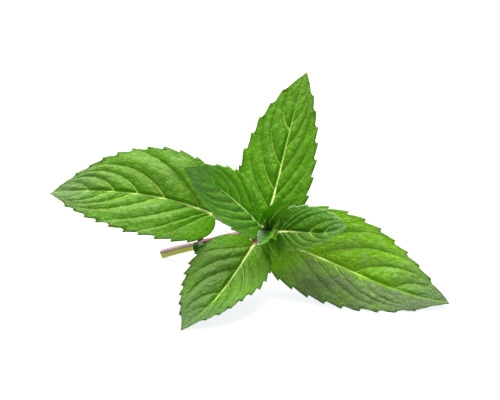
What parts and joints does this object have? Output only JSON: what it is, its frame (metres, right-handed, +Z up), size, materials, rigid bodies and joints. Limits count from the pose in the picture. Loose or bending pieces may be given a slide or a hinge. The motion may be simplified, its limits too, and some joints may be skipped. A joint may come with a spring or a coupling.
{
  "type": "spearmint sprig",
  "caption": "Cut tip of a mint shoot lying on a surface: a square stem with opposite pairs of toothed, quilted leaves, each pair turned a quarter turn, closed by young leaves and a bud.",
  "frame": {"origin": "on the surface that the sprig lies on, under the middle of its bounding box", "axes": "+Z up from the surface; +X along the spread of the lower pair of leaves, from the left leaf's tip to the right one's; the crown leans towards -Y, and the stem's cut end lies at -X, +Y"},
  "size_m": [0.1134, 0.0547, 0.0555],
  "materials": {
    "leaf": "leaf: satin, quilted between pale yellow-green veins, lightly translucent",
    "upper_leaf": "leaf: satin with a grey-green bloom on the crests, pale veins",
    "young_leaf": "young leaf: satin, darker, faintly bluish rim",
    "stem": "stem skin: satin, mauve-brown above and yellow-green below, maroon at the node",
    "stub": "dry stalk skin: dull pink-brown",
    "bud": "bud: satin, yellow-green, downy"
  },
  "bodies": {
    "root": {"stem": "stem", "lower_leaf_left": "leaf", "lower_leaf_right": "leaf", "middle_leaf_back": "leaf", "middle_leaf_front": "leaf", "upper_leaf_left": "upper_leaf", "upper_leaf_right": "upper_leaf", "young_leaf_back": "young_leaf", "young_leaf_front": "young_leaf", "bud_leaf_left": "young_leaf", "bud_leaf_right": "young_leaf", "side_leaf_at_bare_node": "young_leaf", "side_leaf_at_middle_node": "young_leaf", "stalk_stub": "stub", "tip_bud": "bud"}
  },
  "joints": []
}
